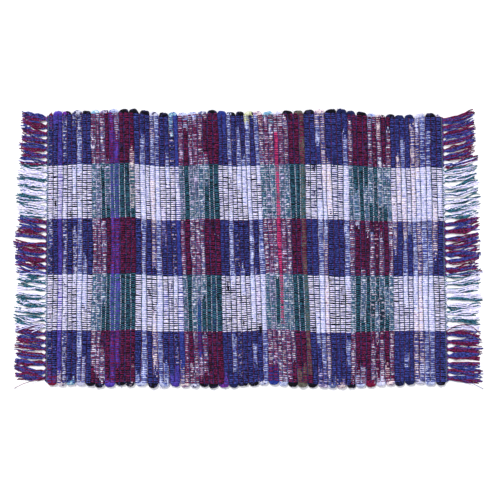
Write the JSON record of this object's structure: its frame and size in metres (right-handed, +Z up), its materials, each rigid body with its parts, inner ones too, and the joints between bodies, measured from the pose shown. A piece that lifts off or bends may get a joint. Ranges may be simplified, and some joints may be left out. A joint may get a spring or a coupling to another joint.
{
  "type": "rag rug",
  "caption": "Flat woven rag rug in a plaid of dark and light warp bands, with rag turns along its long edges and a fringe of warp ends at each end.",
  "frame": {"origin": "centre of the rug's bounding box at the floor, under the rug", "axes": "+X along the length of the rug from fringe to fringe, +Y across its width, +Z up out of its face"},
  "size_m": [1.0572, 0.6282, 0.008],
  "materials": {
    "rag_weave": "cotton rag strips in mixed colours, held by cotton warp, matt",
    "cotton_warp": "plied cotton yarn, matt"
  },
  "bodies": {
    "root": {"woven_field": "rag_weave", "fringe_left": "cotton_warp", "fringe_right": "cotton_warp"}
  },
  "joints": []
}
